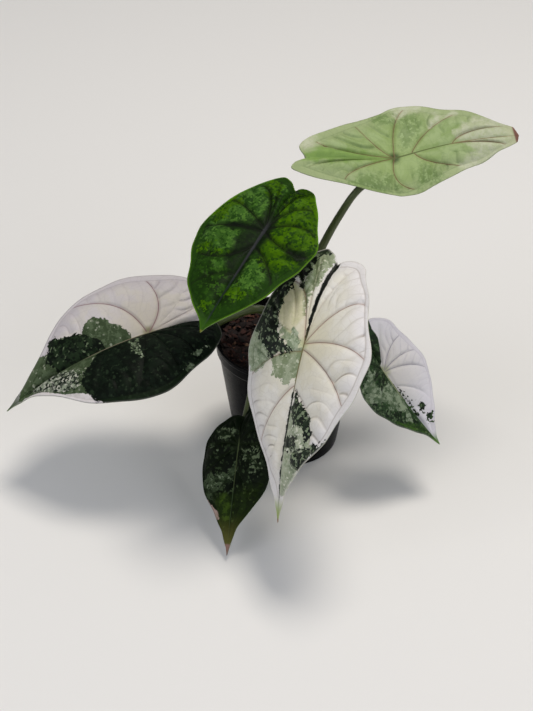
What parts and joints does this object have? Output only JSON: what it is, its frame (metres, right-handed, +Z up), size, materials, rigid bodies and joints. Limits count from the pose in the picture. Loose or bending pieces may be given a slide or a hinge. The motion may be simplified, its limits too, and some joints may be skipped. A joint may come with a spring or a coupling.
{
  "type": "potted variegated dragon scale alocasia",
  "caption": "Young variegated alocasia with quilted leaves on arching stalks, standing in a small dark plastic nursery pot filled with bark mix.",
  "frame": {"origin": "middle of the pot's flat base, on the surface that it stands on", "axes": "+Z up along the pot's axis, -Y towards the front of the plant, where its largest leaf hangs, +X to its right"},
  "size_m": [0.3428, 0.2172, 0.231],
  "materials": {
    "pot_plastic": "glossy smoke-dark thin plastic",
    "bark_mix": "rough chips and fibre",
    "crown": "matte",
    "petiole": "satin",
    "leaf_pale": "satin",
    "leaf_green": "satin",
    "leaf_white": "satin",
    "leaf_half": "satin"
  },
  "bodies": {
    "root": {"pot": "pot_plastic", "soil": "bark_mix", "crown": "crown", "petiole_top": "petiole", "petiole_back": "petiole", "petiole_front": "petiole", "petiole_left": "petiole", "petiole_right": "petiole", "petiole_low": "petiole", "blade_top": "leaf_pale", "blade_back": "leaf_green", "blade_front": "leaf_white", "blade_left": "leaf_half", "blade_right": "leaf_half", "blade_low": "leaf_green"}
  },
  "joints": []
}
